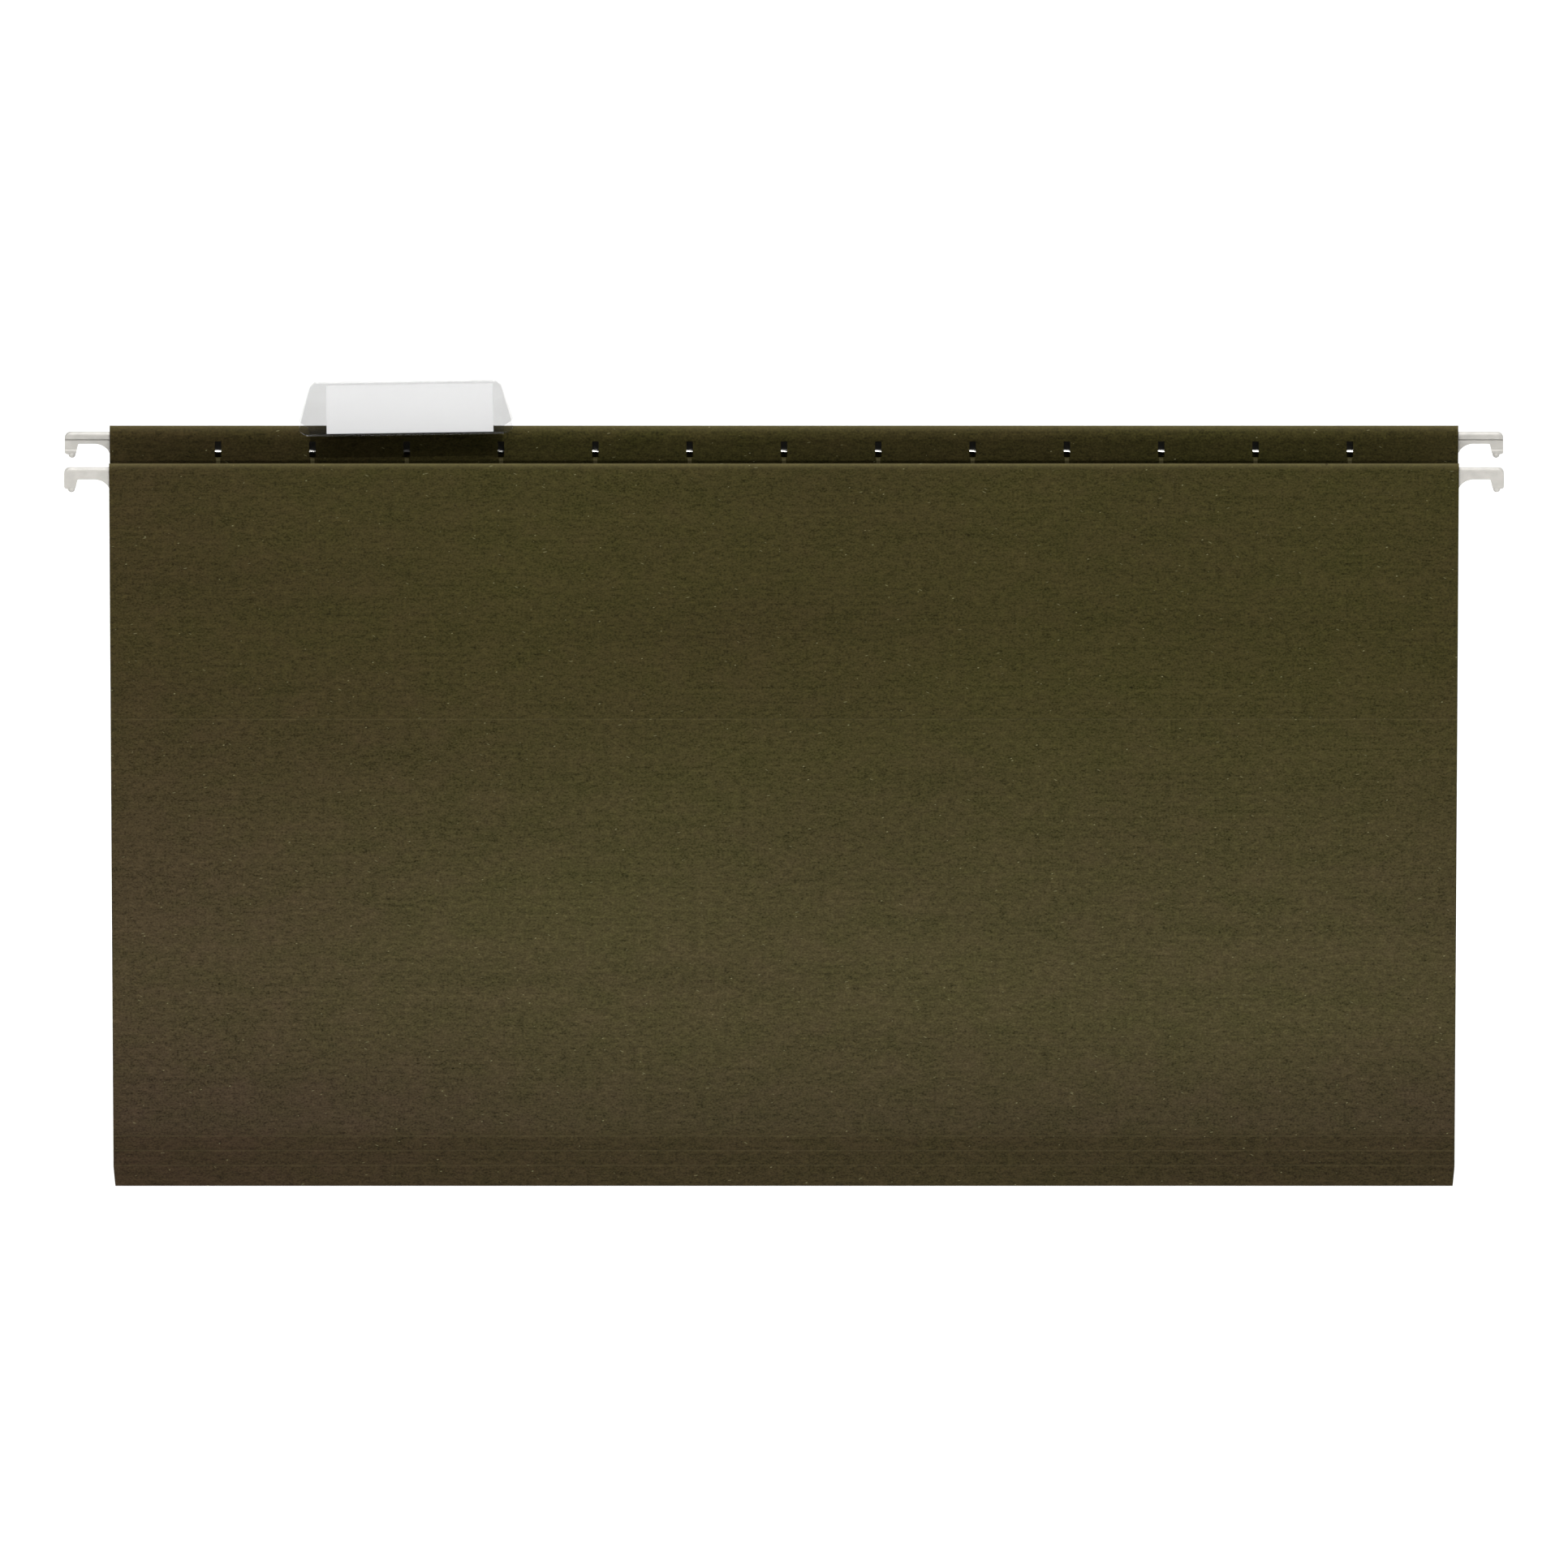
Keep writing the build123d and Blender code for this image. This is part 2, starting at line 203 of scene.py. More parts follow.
def add(tree, kind, inputs=None, **settings):
    """Add a node, with its settings, and its inputs as values or as sockets to link."""
    made = tree.nodes.new(kind)
    for name, value in settings.items():
        setattr(made, name, value)
    for key, value in (inputs or {}).items():
        if isinstance(value, bpy.types.NodeSocket):
            tree.links.new(value, made.inputs[key])
        else:
            made.inputs[key].default_value = value
    return made


def new_material(name):
    """An empty material and its tree with an output node."""
    material = bpy.data.materials.new(name)
    material.use_nodes = True
    material.node_tree.nodes.clear()
    return material, material.node_tree, add(material.node_tree, "ShaderNodeOutputMaterial")


def new_object(name, data):
    """An object in the scene for a mesh, a light or a camera."""
    made = bpy.data.objects.new(name, data)
    bpy.context.scene.collection.objects.link(made)
    return made


def plain_copy(obj, name):
    """The object's evaluated mesh as a plain mesh, in place of its modifiers."""
    graph = bpy.context.evaluated_depsgraph_get()
    mesh = bpy.data.meshes.new_from_object(obj.evaluated_get(graph), depsgraph=graph)
    old = obj.data
    obj.modifiers.clear()
    obj.data = mesh
    bpy.data.meshes.remove(old)
    mesh.name = name
    return mesh


def paint(obj, material):
    """Give an object one material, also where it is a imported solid."""
    obj.data.materials.clear()
    obj.data.materials.append(material)


# Materials

def olive_card(settings):
    """Dyed kraft card, uncoated. Matt, with fibres drawn out along the sheet, cloudy dye, pale undyed fibres and a
    few bark specks. The finest fibres are drawn about twice their real width so that they show."""
    material, tree, output = new_material("olive_kraft_card")
    place = add(tree, "ShaderNodeUVMap", uv_map="card").outputs["UV"]

    def noise(along, across, detail, seed):
        """Noise with features of the given length and width."""
        spread = add(tree, "ShaderNodeMapping", {"Vector": place, "Scale": (1 / along, 1 / across, 1),
                                                 "Location": (seed, seed, 0)})
        return add(tree, "ShaderNodeTexNoise", {"Vector": spread.outputs["Vector"], "Scale": 1, "Detail": detail,
                                                "Roughness": 0.6}).outputs["Fac"]

    def scattered(along, across, turn, radius, share, seed):
        """Mask of spots, in a share of turned cells of the given size. The radius is in cells."""
        turned = add(tree, "ShaderNodeMapping", {"Vector": place, "Rotation": (0, 0, turn)})
        spread = add(tree, "ShaderNodeMapping", {"Vector": turned.outputs["Vector"], "Location": (seed, seed, 0),
                                                 "Scale": (1 / along, 1 / across, 1)})
        cells = add(tree, "ShaderNodeTexVoronoi", {"Vector": spread.outputs["Vector"], "Scale": 1},
                    voronoi_dimensions="2D")
        pick = add(tree, "ShaderNodeSeparateColor", {"Color": cells.outputs["Color"]})
        size = add(tree, "ShaderNodeMapRange", {"Value": pick.outputs["Red"], "From Min": 1 - share, "From Max": 1,
                                                "To Min": 0, "To Max": radius})
        gap = add(tree, "ShaderNodeMath", {0: size.outputs["Result"], 1: cells.outputs["Distance"]},
                  operation="SUBTRACT")
        return add(tree, "ShaderNodeMapRange", {"Value": gap.outputs[0], "From Min": 0, "From Max": radius * 0.5},
                   interpolation_type="SMOOTHSTEP").outputs["Result"]

    fibres = noise(2.4 * MM, 1.2 * MM, 4, 3.1)
    tooth = noise(0.65 * MM, 0.55 * MM, 2, 7.7)
    mottle = noise(12 * MM, 8 * MM, 3, 1.3)
    bands = noise(400 * MM, 22 * MM, 3, 5.9)
    streaks = noise(160 * MM, 1.3 * MM, 2, 6.8)
    cloud = noise(140 * MM, 90 * MM, 2, 9.4)

    # The dye is greenest right of the middle and browner towards the ends, most of all the left one
    greenest, green_end, brown_end = 0.13 * settings.width, 0.25 * settings.width, 0.63 * settings.width
    along, up = add(tree, "ShaderNodeSeparateXYZ", {"Vector": place}).outputs[:2]
    along = add(tree, "ShaderNodeMath", {0: along, 1: greenest}, operation="SUBTRACT").outputs[0]
    along = add(tree, "ShaderNodeMath", {0: along}, operation="ABSOLUTE").outputs[0]
    browned = add(tree, "ShaderNodeMapRange", {"Value": along, "From Min": green_end, "From Max": brown_end,
                                               "To Max": 0.5}, interpolation_type="SMOOTHSTEP").outputs["Result"]
    hue = add(tree, "ShaderNodeMath", {0: cloud, 1: mottle}, operation="ADD").outputs[0]
    hue = add(tree, "ShaderNodeMath", {0: hue, 1: browned}, operation="ADD").outputs[0]
    dye = add(tree, "ShaderNodeMapRange", {"Value": hue, "From Min": 0.5, "From Max": 1.6})
    base = add(tree, "ShaderNodeMix", {0: dye.outputs["Result"], 6: settings.green, 7: settings.brown},
               data_type="RGBA").outputs[2]

    # On the outside, each panel is darker and browner at the bottom, and lighter and greyer in its lower middle,
    # partly real fading and partly painted light; the flap, past 1, is darker with painted shade. Each tint has its
    # place as a share of the panel's height, and the ramp reaches past the end of the flap.
    fresh = (1, 1, 1)
    # Painted shade on the flap, past the top fold
    inner = (0.82, 0.82, 0.80)
    # Darker and browner at the bottom of the panel
    bottom_tint = (0.9, 0.8, 1.15)
    scored = (1.15, 1.06, 1.65)
    # Lighter and greyer in the lower middle, partly real fading and partly painted light
    faded_and_lit = (1.42, 1.41, 1.9)
    fade_and_light = ((0.06, bottom_tint), (0.088, scored), (0.24, faded_and_lit), (0.80, fresh), (1.001, fresh), (1.006, inner))
    reach = 1.25
    up = add(tree, "ShaderNodeMath", {0: up, 1: 1 / (reach * settings.height)}, operation="MULTIPLY").outputs[0]
    up = add(tree, "ShaderNodeMath", {0: up}, operation="ABSOLUTE").outputs[0]
    height_tint = add(tree, "ShaderNodeValToRGB", {"Fac": up})
    height_tint.color_ramp.interpolation = "EASE"
    stops = height_tint.color_ramp.elements
    while len(stops) < len(fade_and_light):
        stops.new(0.5)
    for stop, (share, tint) in zip(stops, fade_and_light):
        stop.position = share / reach
        stop.color = (*tint, 1)
    outside = add(tree, "ShaderNodeAttribute", attribute_name="outside").outputs["Fac"]
    aged_and_lit = add(tree, "ShaderNodeMix", {0: outside, 6: base, 7: height_tint.outputs["Color"]}, data_type="RGBA",
               blend_type="MULTIPLY").outputs[2]

    # Light and dark of the fibres: each noise, about its mean of a half, in its own strength
    tone = 1.0
    for strength, source in ((1.60, fibres), (1.95, tooth), (0.60, mottle), (0.28, bands), (0.30, streaks)):
        part = add(tree, "ShaderNodeMath", {0: source, 1: 0.5}, operation="SUBTRACT")
        tone = add(tree, "ShaderNodeMath", {0: part.outputs[0], 1: strength, 2: tone},
                   operation="MULTIPLY_ADD").outputs[0]
    toned = add(tree, "ShaderNodeMix", {0: 1.0, 6: aged_and_lit, 7: tone}, data_type="RGBA", blend_type="MULTIPLY").outputs[2]

    # Worn fibres of folds, scored lines and slits, and a painted highlight on the crest of the top fold
    worn_and_lit = add(tree, "ShaderNodeAttribute", attribute_name="wear_and_highlight").outputs["Fac"]
    shown = add(tree, "ShaderNodeMix", {0: worn_and_lit, 6: toned, 7: settings.worn_and_lit}, data_type="RGBA").outputs[2]

    # Short pale flecks, undyed fibres that lie two ways, and bark specks
    for mask, strength, tint in ((scattered(8 * MM, 5 * MM, 0.3, 0.045, 0.5, 2.2), 0.7, settings.fleck),
                                 (scattered(9 * MM, 2.2 * MM, 0.2, 0.08, 0.12, 4.6), 0.5, settings.fleck),
                                 (scattered(9 * MM, 2.2 * MM, -0.5, 0.08, 0.12, 8.8), 0.5, settings.fleck),
                                 (scattered(24 * MM, 24 * MM, 1.1, 0.02, 0.5, 6.3), 0.6, settings.speck)):
        soft = add(tree, "ShaderNodeMath", {0: mask, 1: strength}, operation="MULTIPLY")
        shown = add(tree, "ShaderNodeMix", {0: soft.outputs[0], 6: shown, 7: tint}, data_type="RGBA").outputs[2]

    height = add(tree, "ShaderNodeMath", {0: fibres, 1: tooth}, operation="ADD")
    bump = add(tree, "ShaderNodeBump", {"Height": height.outputs[0], "Strength": 0.35, "Distance": 0.05 * MM})
    rough = add(tree, "ShaderNodeMapRange", {"Value": tooth, "To Min": 0.80, "To Max": 0.95})
    surface = add(tree, "ShaderNodeBsdfPrincipled",
                  {"Base Color": shown, "Roughness": rough.outputs["Result"], "Specular IOR Level": 0.05,
                   "Normal": bump.outputs["Normal"]})
    tree.links.new(surface.outputs["BSDF"], output.inputs["Surface"])
    return material


def dipped_vinyl(settings):
    """Off-white vinyl, dipped and cured. Satin, a little uneven where the wet coat ran."""
    material, tree, output = new_material("dipped_vinyl_coat")
    place = add(tree, "ShaderNodeTexCoord").outputs["Object"]
    runs = add(tree, "ShaderNodeTexNoise", {"Vector": place, "Scale": 1 / (1.6 * MM), "Detail": 2})
    dirt = add(tree, "ShaderNodeTexNoise", {"Vector": place, "Scale": 1 / (2.5 * MM), "Detail": 3})
    shade = add(tree, "ShaderNodeMapRange", {"Value": dirt.outputs["Fac"], "From Min": 0.3, "From Max": 0.7,
                                             "To Min": 0.86, "To Max": 1.0})
    tint = add(tree, "ShaderNodeMix", {0: 1.0, 6: settings.coat, 7: shade.outputs["Result"]}, data_type="RGBA",
               blend_type="MULTIPLY")
    bump = add(tree, "ShaderNodeBump", {"Height": runs.outputs["Fac"], "Strength": 0.3, "Distance": 0.08 * MM})
    rough = add(tree, "ShaderNodeMapRange", {"Value": runs.outputs["Fac"], "To Min": 0.32, "To Max": 0.5})
    surface = add(tree, "ShaderNodeBsdfPrincipled",
                  {"Base Color": tint.outputs[2], "Roughness": rough.outputs["Result"], "IOR": 1.53,
                   "Normal": bump.outputs["Normal"]})
    tree.links.new(surface.outputs["BSDF"], output.inputs["Surface"])
    return material


def zinc_steel(settings):
    """Zinc-plated strip steel, rolled. Bright, with fine rolling lines along the strip."""
    material, tree, output = new_material("zinc_plated_steel")
    place = add(tree, "ShaderNodeTexCoord").outputs["Object"]
    along, across = 20 * MM, 0.3 * MM
    lines = add(tree, "ShaderNodeMapping", {"Vector": place, "Scale": (1 / along, 1 / across, 1 / across)})
    rolled = add(tree, "ShaderNodeTexNoise", {"Vector": lines.outputs["Vector"], "Scale": 1, "Detail": 3})
    shade = add(tree, "ShaderNodeMapRange", {"Value": rolled.outputs["Fac"], "To Min": 0.8, "To Max": 1.0})
    tint = add(tree, "ShaderNodeMix", {0: 1.0, 6: settings.steel, 7: shade.outputs["Result"]}, data_type="RGBA",
               blend_type="MULTIPLY")
    rough = add(tree, "ShaderNodeMapRange", {"Value": rolled.outputs["Fac"], "To Min": 0.28, "To Max": 0.40})
    surface = add(tree, "ShaderNodeBsdfPrincipled",
                  {"Base Color": tint.outputs[2], "Metallic": 1.0, "Roughness": rough.outputs["Result"]})
    tree.links.new(surface.outputs["BSDF"], output.inputs["Surface"])
    return material


def dried_glue(settings):
    """White paper glue, rolled on and dried. Pale and waxy, with the stipple of the roller."""
    material, tree, output = new_material("dried_paper_glue")
    place = add(tree, "ShaderNodeTexCoord").outputs["Object"]
    stipple = add(tree, "ShaderNodeTexNoise", {"Vector": place, "Scale": 1 / (2 * MM), "Detail": 3})
    shade = add(tree, "ShaderNodeMapRange", {"Value": stipple.outputs["Fac"], "To Min": 0.8, "To Max": 1.0})
    tint = add(tree, "ShaderNodeMix", {0: 1.0, 6: settings.glue, 7: shade.outputs["Result"]}, data_type="RGBA",
               blend_type="MULTIPLY")
    surface = add(tree, "ShaderNodeBsdfPrincipled", {"Base Color": tint.outputs[2], "Roughness": 0.5})
    tree.links.new(surface.outputs["BSDF"], output.inputs["Surface"])
    return material


def clear_vinyl(settings):
    """Rigid clear PVC sheet, calendered. See-through with a faint grey, mirror-like at a glancing angle."""
    material, tree, output = new_material("clear_pvc_sheet")
    place = add(tree, "ShaderNodeTexCoord").outputs["Object"]
    rolled = add(tree, "ShaderNodeTexNoise", {"Vector": place, "Scale": 1 / (9 * MM), "Detail": 2})
    rough = add(tree, "ShaderNodeMapRange", {"Value": rolled.outputs["Fac"], "To Min": 0.06, "To Max": 0.18})
    clear = add(tree, "ShaderNodeBsdfTransparent", {"Color": settings.tint})
    gloss = add(tree, "ShaderNodeBsdfGlossy", {"Roughness": rough.outputs["Result"]})
    slant = add(tree, "ShaderNodeLayerWeight", {"Blend": 0.5}).outputs["Facing"]
    slant = add(tree, "ShaderNodeMath", {0: slant, 1: 5.0}, operation="POWER").outputs[0]
    share = add(tree, "ShaderNodeMapRange", {"Value": slant, "To Min": 0.04, "To Max": 1.0})
    surface = add(tree, "ShaderNodeMixShader", {0: share.outputs["Result"], 1: clear.outputs["BSDF"],
                                                2: gloss.outputs["BSDF"]})
    tree.links.new(surface.outputs["Shader"], output.inputs["Surface"])
    return material


def label_paper(settings):
    """Bleached bond paper, uncoated. White and matt with a faint fibre cloud."""
    material, tree, output = new_material("white_bond_paper")
    place = add(tree, "ShaderNodeTexCoord").outputs["Object"]
    cloud = add(tree, "ShaderNodeTexNoise", {"Vector": place, "Scale": 1 / (1.2 * MM), "Detail": 4})
    shade = add(tree, "ShaderNodeMapRange", {"Value": cloud.outputs["Fac"], "From Min": 0.3, "From Max": 0.7,
                                             "To Min": 0.98, "To Max": 1.0})
    tint = add(tree, "ShaderNodeMix", {0: 1.0, 6: settings.label, 7: shade.outputs["Result"]}, data_type="RGBA",
               blend_type="MULTIPLY")
    bump = add(tree, "ShaderNodeBump", {"Height": cloud.outputs["Fac"], "Strength": 0.2, "Distance": 0.02 * MM})
    surface = add(tree, "ShaderNodeBsdfPrincipled",
                  {"Base Color": tint.outputs[2], "Roughness": 0.9, "Specular IOR Level": 0.2,
                   "Normal": bump.outputs["Normal"]})
    tree.links.new(surface.outputs["BSDF"], output.inputs["Surface"])
    return material


def studio_floor(settings):
    """Matt painted board, rolled. Pale, with a faint roller texture."""
    material, tree, output = new_material("matt_painted_board")
    place = add(tree, "ShaderNodeTexCoord").outputs["Object"]
    roller = add(tree, "ShaderNodeTexNoise", {"Vector": place, "Scale": 1 / (3 * MM), "Detail": 2})
    shade = add(tree, "ShaderNodeMapRange", {"Value": roller.outputs["Fac"], "To Min": 0.985, "To Max": 1.0})
    tint = add(tree, "ShaderNodeMix", {0: 1.0, 6: settings.floor, 7: shade.outputs["Result"]}, data_type="RGBA",
               blend_type="MULTIPLY")
    surface = add(tree, "ShaderNodeBsdfPrincipled",
                  {"Base Color": tint.outputs[2], "Roughness": 0.9, "Specular IOR Level": 0.1})
    tree.links.new(surface.outputs["BSDF"], output.inputs["Surface"])
    return material


# Folded card

def walk(moves, heading):
    """Rows along the middle of the card: (y, z, heading, length so far). A move is its length, turn and steps."""
    y = z = run = 0.0
    rows = [(y, z, heading, run)]
    for distance, turn, steps in moves:
        half = turn / steps / 2
        chord = distance / steps * (math.sin(half) / half if half else 1)
        for _ in range(steps):
            y += chord * math.cos(heading + half)
            z += chord * math.sin(heading + half)
            heading += 2 * half
            run += distance / steps
            rows.append((y, z, heading, run))
    return rows


def in_frame(side, y, z):
    """Y and Z in the shared frame of a point of one half."""
    return (side * (y * math.cos(LEAN) + z * math.sin(LEAN)),
            FOLD_AXIS.z + z * math.cos(LEAN) - y * math.sin(LEAN))


def top_fold(card):
    """Radius of the top fold, in the middle of the card, and the height of its centre."""
    radius = (card.fold_gap + card.thickness) / 2
    return radius, card.height - card.thickness / 2 - radius


def score_heights(card):
    """Heights of the scored lines: those of the bottom, then the single one."""
    low = [card.first_score + card.score_pitch * k for k in range(card.score_count)]
    return low + [card.height - card.panel_score]


def half_rows(card):
    """Rows of one half in its own frame, from the foot of the bottom fold to the end of the flap. The panel has rows
    at an even spacing, and closer ones at the scored lines and where the wear and painted highlight of the top fold
    fade out."""
    middle = card.thickness / 2
    quarter = math.pi / 2 - LEAN
    fold_radius, fold_centre = top_fold(card)
    spacing = 10 * MM
    below_fold = (0.3 * MM, 0.7 * MM, 1.2 * MM, 2.0 * MM)
    stops = {SEAM, fold_centre} | {fold_centre - d for d in below_fold}
    for score in score_heights(card):
        stops.update(score + card.score_width * k / 4 for k in range(-3, 4))
    stops.update(spacing * k for k in range(1, int(fold_centre / spacing)))
    moves = [(middle * quarter, quarter, ARC - 1)]
    low = 0.0
    for stop in sorted(stops):
        moves.append((stop - low, 0, 1))
        low = stop

    leave = math.pi - card.fold_spread
    moves.append((fold_radius * leave, leave, 14))
    start_y = -fold_radius + middle + fold_radius * math.cos(leave)
    start_z = fold_centre + fold_radius * math.sin(leave)
    sleeve_y = -card.sleeve - middle
    glued_y = -card.glue - middle
    corner_z = start_z - (start_y - sleeve_y) / math.tan(card.fold_spread)
    ramp_top = card.height - card.sleeve_drop
    ramp_turn = math.atan2(glued_y - sleeve_y, card.ramp)
    cut_spread = card.sleeve_bend * math.tan(card.fold_spread / 2)
    cut_ramp = card.bend * math.tan(ramp_turn / 2)
    slope = (start_y - sleeve_y) / math.sin(card.fold_spread)
    moves += [(slope - cut_spread, 0, 2),
              (card.sleeve_bend * card.fold_spread, card.fold_spread, 8),
              (corner_z - ramp_top - cut_spread - cut_ramp, 0, 4),
              (card.bend * ramp_turn, ramp_turn, 3),
              (math.hypot(card.ramp, glued_y - sleeve_y) - 2 * cut_ramp, 0, 3),
              (card.bend * ramp_turn, -ramp_turn, 3),
              (card.flap - cut_ramp, 0, 4)]
    rows = walk(moves, LEAN)
    foot = (middle * math.sin(LEAN), -middle * math.cos(LEAN))
    return [(y + foot[0], z + foot[1], heading, run) for y, z, heading, run in rows]


def card_columns(card, slots):
    """Places across the card, close together beside each slit, where its worn edges show."""
    beside_slit = (0.4 * MM, 0.7 * MM, slots.pitch / 2)
    places = {-card.width / 2, card.width / 2}
    for k in range(slots.count):
        x = (k - (slots.count - 1) / 2) * slots.pitch
        places.update(x + hand * d for hand in (-1, 1) for d in beside_slit)
    return sorted({round(x, 6) for x in places})


def groove(card, height):
    """Depth of the scored lines at a height on the panel."""
    reach = card.score_width / 2
    return max(card.score_depth * max(0.0, 1 - abs(height - score) / reach) for score in score_heights(card))


def card_mesh(name, sheet, card, slots):
    """A stretch of the card as a closed mesh of two faces and its rims, with the length along the card in its UV map
    and the wear of its folds, scored lines and slits, which on the crest of the top fold is also a painted highlight.
    A row of the sheet is its side and a row of that half."""
    # The wear of the top fold is also a painted highlight on its crest
    fold_wear_and_highlight, fold_reach, fold_falloff = 0.5, 2 * MM, 1.5
    score_wear, slit_wear, slit_reach = 0.17, 0.95, 0.5 * MM
    columns = card_columns(card, slots)
    slit_high = card.height - slots.drop - slots.height
    slit_low = slit_high - slots.slit_height
    fold_radius, fold_centre = top_fold(card)
    crest = card.thickness / 2 * (math.pi / 2 - LEAN) + fold_centre + fold_radius * math.pi / 2
    points, wear_and_highlight, run_of = [], [], []
    for face in (1, -1):
        for side, (y, z, heading, run) in sheet:
            on_panel = y > 0 and 0 < z < fold_centre
            dent = groove(card, z) if on_panel else 0.0
            lift = face * card.thickness / 2 - dent
            place = in_frame(side, y + lift * math.sin(heading), z - lift * math.cos(heading))
            narrow = card.corner_width * max(0.0, 1 - max(z, 0) / card.corner_height)
            # Worn fibres and a painted highlight on the crest of the top fold
            crest_wear_and_highlight = fold_wear_and_highlight * max(0.0, 1 - abs(run - crest) / fold_reach) ** fold_falloff
            pressed = score_wear * dent / card.score_depth
            at_slit = y < -card.glue and slit_low < z < slit_high
            for x in columns:
                from_slit = abs((x / slots.pitch + 0.5) % 1 - 0.5) * slots.pitch
                slit = slit_wear if at_slit and from_slit < slit_reach else 0.0
                points.append((x * (1 - 2 * narrow / card.width), *place))
                wear_and_highlight.append(max(crest_wear_and_highlight, pressed, slit))
                run_of.append(side * run)
    across, along = len(columns), len(sheet)
    layer = across * along
    faces = []
    for j in range(along - 1):
        for i in range(across - 1):
            a = j * across + i
            faces.append((a, a + across, a + across + 1, a + 1))
            faces.append((layer + a, layer + a + 1, layer + a + across + 1, layer + a + across))
    rim = list(range(across)) + [j * across + across - 1 for j in range(1, along)]
    rim += [(along - 1) * across + i for i in range(across - 2, -1, -1)]
    rim += [j * across for j in range(along - 2, 0, -1)]
    faces += [(a, b, layer + b, layer + a) for a, b in zip(rim, rim[1:] + rim[:1])]
    mesh = bpy.data.meshes.new(name)
    mesh.from_pydata(points, [], faces)
    corners = [loop.vertex_index for loop in mesh.loops]
    outside = [1.0] * layer + [0.0] * layer
    for key, values in (("wear_and_highlight", wear_and_highlight), ("outside", outside)):
        mesh.attributes.new(key, "FLOAT", "CORNER").data.foreach_set("value", [values[k] for k in corners])
    uv = mesh.uv_layers.new(name="card")
    for k, target in zip(corners, uv.data):
        target.uv = (points[k][0], run_of[k])
    return mesh


def slot_tree():
    """Node group that cuts a row of slots, each with a slit below, through a flap."""
    nearly_half = 0.4999        # of both heights, so that slit and slot run into each other
    tree = bpy.data.node_groups.new("Tab slots", "GeometryNodeTree")
    tree.is_modifier = True
    face = tree.interface
    face.new_socket("Geometry", in_out="INPUT", socket_type="NodeSocketGeometry")
    face.new_socket("Geometry", in_out="OUTPUT", socket_type="NodeSocketGeometry")
    face.new_socket("Count", in_out="INPUT", socket_type="NodeSocketInt")
    for name in ("Pitch", "Slot Width", "Slot Height", "Slit Width", "Slit Height", "Cut Depth"):
        face.new_socket(name, in_out="INPUT", socket_type="NodeSocketFloat")
    for name in ("Place", "Turn"):
        face.new_socket(name, in_out="INPUT", socket_type="NodeSocketVector")
    face.new_socket("Material", in_out="INPUT", socket_type="NodeSocketMaterial")
    given = add(tree, "NodeGroupInput").outputs
    last = add(tree, "ShaderNodeMath", {0: given["Count"], 1: 1}, operation="SUBTRACT").outputs[0]
    span = add(tree, "ShaderNodeMath", {0: last, 1: given["Pitch"]}, operation="MULTIPLY").outputs[0]
    first = add(tree, "ShaderNodeMath", {0: span, 1: -0.5}, operation="MULTIPLY").outputs[0]
    row = add(tree, "GeometryNodeMeshLine",
              {"Count": given["Count"],
               "Start Location": add(tree, "ShaderNodeCombineXYZ", {"X": first}).outputs[0],
               "Offset": add(tree, "ShaderNodeCombineXYZ", {"X": given["Pitch"]}).outputs[0]}, mode="OFFSET")
    slot_size = add(tree, "ShaderNodeCombineXYZ", {"X": given["Slot Width"], "Y": given["Cut Depth"],
                                                   "Z": given["Slot Height"]})
    slit_size = add(tree, "ShaderNodeCombineXYZ", {"X": given["Slit Width"], "Y": given["Cut Depth"],
                                                   "Z": given["Slit Height"]})
    both = add(tree, "ShaderNodeMath", {0: given["Slot Height"], 1: given["Slit Height"]}, operation="ADD").outputs[0]
    drop = add(tree, "ShaderNodeMath", {0: both, 1: -nearly_half}, operation="MULTIPLY").outputs[0]
    slit = add(tree, "GeometryNodeTransform",
               {"Geometry": add(tree, "GeometryNodeMeshCube", {"Size": slit_size.outputs[0]}).outputs["Mesh"],
                "Translation": add(tree, "ShaderNodeCombineXYZ", {"Z": drop}).outputs[0]})
    cutters = add(tree, "GeometryNodeJoinGeometry")
    tree.links.new(add(tree, "GeometryNodeMeshCube", {"Size": slot_size.outputs[0]}).outputs["Mesh"],
                   cutters.inputs[0])
    tree.links.new(slit.outputs["Geometry"], cutters.inputs[0])
    rows = add(tree, "GeometryNodeInstanceOnPoints", {"Points": row.outputs["Mesh"],
                                                      "Instance": cutters.outputs["Geometry"]})
    solid = add(tree, "GeometryNodeRealizeInstances", {"Geometry": rows.outputs["Instances"]}).outputs["Geometry"]
    placed = add(tree, "GeometryNodeTransform", {"Geometry": solid, "Translation": given["Place"],
                                                 "Rotation": given["Turn"]})
    cut = add(tree, "GeometryNodeMeshBoolean", {"Mesh 1": given["Geometry"], "Mesh 2": placed.outputs["Geometry"],
                                                "Self Intersection": True}, operation="DIFFERENCE", solver="EXACT")
    whole = add(tree, "GeometryNodeRealizeInstances", {"Geometry": cut.outputs["Mesh"]})
    painted = add(tree, "GeometryNodeSetMaterial", {"Geometry": whole.outputs["Geometry"],
                                                    "Material": given["Material"]})
    add(tree, "NodeGroupOutput", {"Geometry": painted.outputs["Geometry"]})
    return tree


